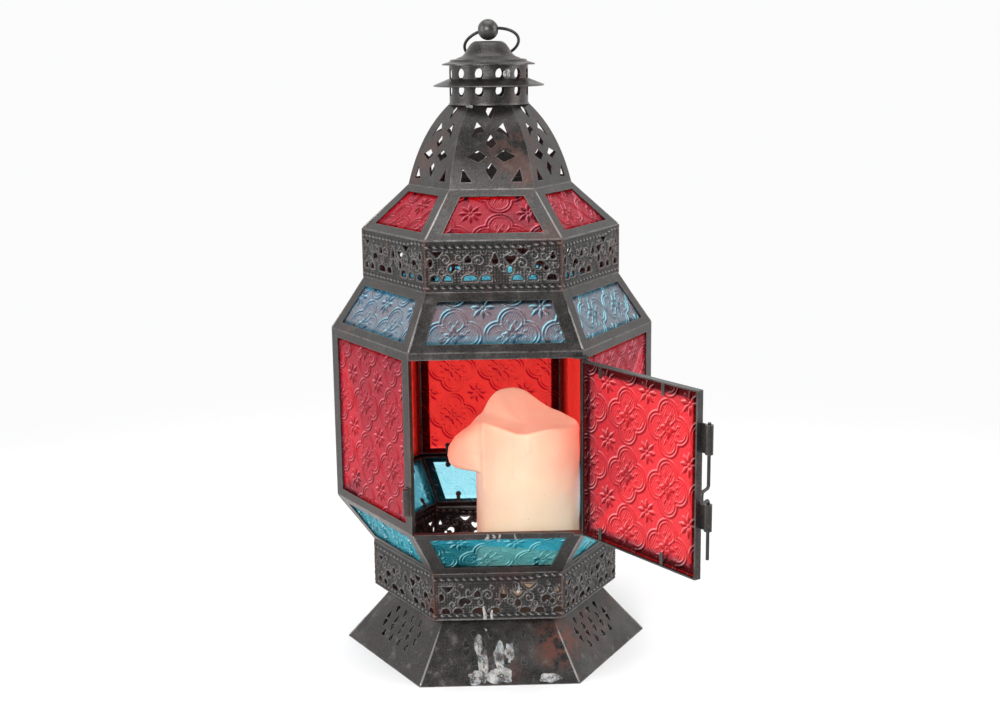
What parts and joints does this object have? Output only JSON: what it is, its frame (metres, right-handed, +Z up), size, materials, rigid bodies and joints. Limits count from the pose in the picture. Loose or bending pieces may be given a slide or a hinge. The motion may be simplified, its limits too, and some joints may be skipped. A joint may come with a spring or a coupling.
{
  "type": "moroccan metal lantern",
  "caption": "Six-sided pierced metal lantern with patterned red and blue glass panes, a hinged latching door, a domed top with a carrying ring, and a pillar candle.",
  "frame": {"origin": "middle of the six-sided footprint, on the surface that the lantern stands on", "axes": "+Z up along the lantern's axis; the doorway faces -Y; the door's hinge is at the doorway's +X side"},
  "size_m": [0.2139, 0.2755, 0.3984],
  "materials": {
    "painted_tin": "aged dark paint, worn to copper brown and bare metal on edges",
    "dark_wire": "dark wire, satin",
    "bright_steel": "plain steel",
    "red_glass": "pressed floral pattern, see-through ruby",
    "blue_glass": "pressed floral pattern, see-through turquoise",
    "wax": "soft translucent wax, peach",
    "wick": "burnt cotton"
  },
  "bodies": {
    "lantern_body": {"brim": "painted_tin", "cap": "painted_tin", "collar": "painted_tin", "dome": "painted_tin", "finial_ball": "painted_tin", "finial_nut": "bright_steel", "finial_screw": "bright_steel", "floor_plate": "painted_tin", "foot_skirt": "painted_tin", "front_header": "painted_tin", "hinge_lugs": "painted_tin", "hinge_rod": "dark_wire", "keeper_barrel": "painted_tin", "lower_band": "painted_tin", "lower_frames": "painted_tin", "lower_pane_1": "blue_glass", "lower_pane_2": "blue_glass", "lower_pane_3": "blue_glass", "lower_pane_4": "blue_glass", "lower_pane_5": "blue_glass", "lower_pane_6": "blue_glass", "lower_tabs": "painted_tin", "roof_frames": "painted_tin", "roof_pane_1": "red_glass", "roof_pane_2": "red_glass", "roof_pane_3": "red_glass", "roof_pane_4": "red_glass", "roof_pane_5": "red_glass", "roof_pane_6": "red_glass", "roof_tabs": "painted_tin", "upper_band": "painted_tin", "upper_frames": "painted_tin", "upper_pane_1": "blue_glass", "upper_pane_2": "blue_glass", "upper_pane_3": "blue_glass", "upper_pane_4": "blue_glass", "upper_pane_5": "blue_glass", "upper_pane_6": "blue_glass", "upper_tabs": "painted_tin", "wall_frame_1": "painted_tin", "wall_frame_2": "painted_tin", "wall_frame_3": "painted_tin", "wall_frame_4": "painted_tin", "wall_frame_5": "painted_tin", "wall_pane_1": "red_glass", "wall_pane_2": "red_glass", "wall_pane_3": "red_glass", "wall_pane_4": "red_glass", "wall_pane_5": "red_glass", "wall_tabs": "painted_tin"},
    "door": {"door_clips": "painted_tin", "door_frame": "painted_tin", "door_pane": "red_glass", "lower_barrel": "painted_tin", "upper_barrel": "painted_tin"},
    "latch_bolt": {"latch_bolt": "dark_wire"},
    "carrying_ring": {"carrying_ring": "dark_wire"},
    "candle": {"candle": "wax", "wick": "wick"}
  },
  "joints": [
    {"name": "door_swing", "type": "hinge", "parent": "lantern_body", "child": "door", "pos_m": [0.0516, -0.0901, 0.1513], "axis": [0, 0, 1], "range_deg": [-124, 50]},
    {"name": "bolt_slide", "type": "slide", "parent": "door", "child": "latch_bolt", "axis": [0, 0, 1], "range_m": [0, 0.0156]},
    {"name": "ring_swing", "type": "hinge", "parent": "lantern_body", "child": "carrying_ring", "pos_m": [0, 0, 0.392], "axis": [0.9848, -0.1736, 0], "range_deg": [0, 240]},
    {"name": "candle_lift", "type": "slide", "parent": "lantern_body", "child": "candle", "axis": [0, 0, 1], "range_m": [0, 0.065]}
  ]
}
